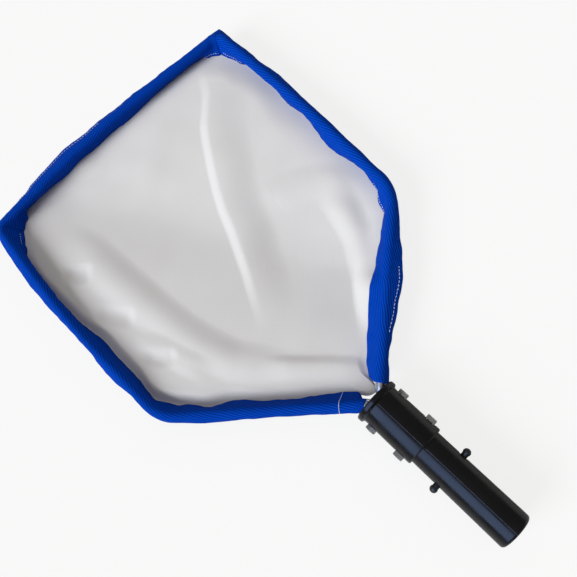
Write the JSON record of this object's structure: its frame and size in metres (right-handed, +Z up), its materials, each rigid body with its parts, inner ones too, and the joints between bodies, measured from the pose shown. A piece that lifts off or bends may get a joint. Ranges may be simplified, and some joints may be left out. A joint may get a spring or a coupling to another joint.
{
  "type": "leaf skimmer net",
  "caption": "Flat-fronted pool skimmer: a bent rod hoop in a webbing pocket with a shallow mesh bag, bolted to a handle that snaps into a pole.",
  "frame": {"origin": "on the floor, under the middle of the part's box", "axes": "+Z up out of the hoop's mouth, +Y from the handle along its axis towards the net, +X to the right of the hoop seen from above"},
  "size_m": [0.3132, 0.532, 0.0384],
  "materials": {
    "black_plastic": "semi-gloss moulded black",
    "black_nylon": "satin moulded black",
    "aluminium": "drawn rod, satin",
    "zinc": "bright zinc plate",
    "spring_steel": "rolled stainless strip",
    "blue_webbing": "twilled polyester tape",
    "white_mesh": "fine woven mesh"
  },
  "bodies": {
    "root": {"handle_housing": "black_plastic", "pole_insert_tube": "black_plastic", "frame_hoop": "aluminium", "left_sleeve": "blue_webbing", "front_sleeve": "blue_webbing", "right_sleeve": "blue_webbing", "mesh_bag": "white_mesh", "front_bolt": "zinc", "front_bolt_nut": "zinc", "rear_bolt": "zinc", "rear_bolt_nut": "zinc", "snap_clip_bend": "spring_steel"},
    "left_leaf": {"snap_clip_left_arm": "spring_steel", "snap_button_left": "black_nylon"},
    "right_leaf": {"snap_clip_right_arm": "spring_steel", "snap_button_right": "black_nylon"}
  },
  "joints": [
    {"name": "left_button_press", "type": "hinge", "parent": "root", "child": "left_leaf", "pos_m": [-0.01622, -0.25374, 0.0192], "axis": [0, 0, -1], "range_deg": [0, 8.1], "stiffness_Nm_per_rad": 3},
    {"name": "right_button_press", "type": "hinge", "parent": "root", "child": "right_leaf", "pos_m": [0.00078, -0.25374, 0.0192], "axis": [0, 0, 1], "range_deg": [0, 8.1], "stiffness_Nm_per_rad": 3}
  ]
}
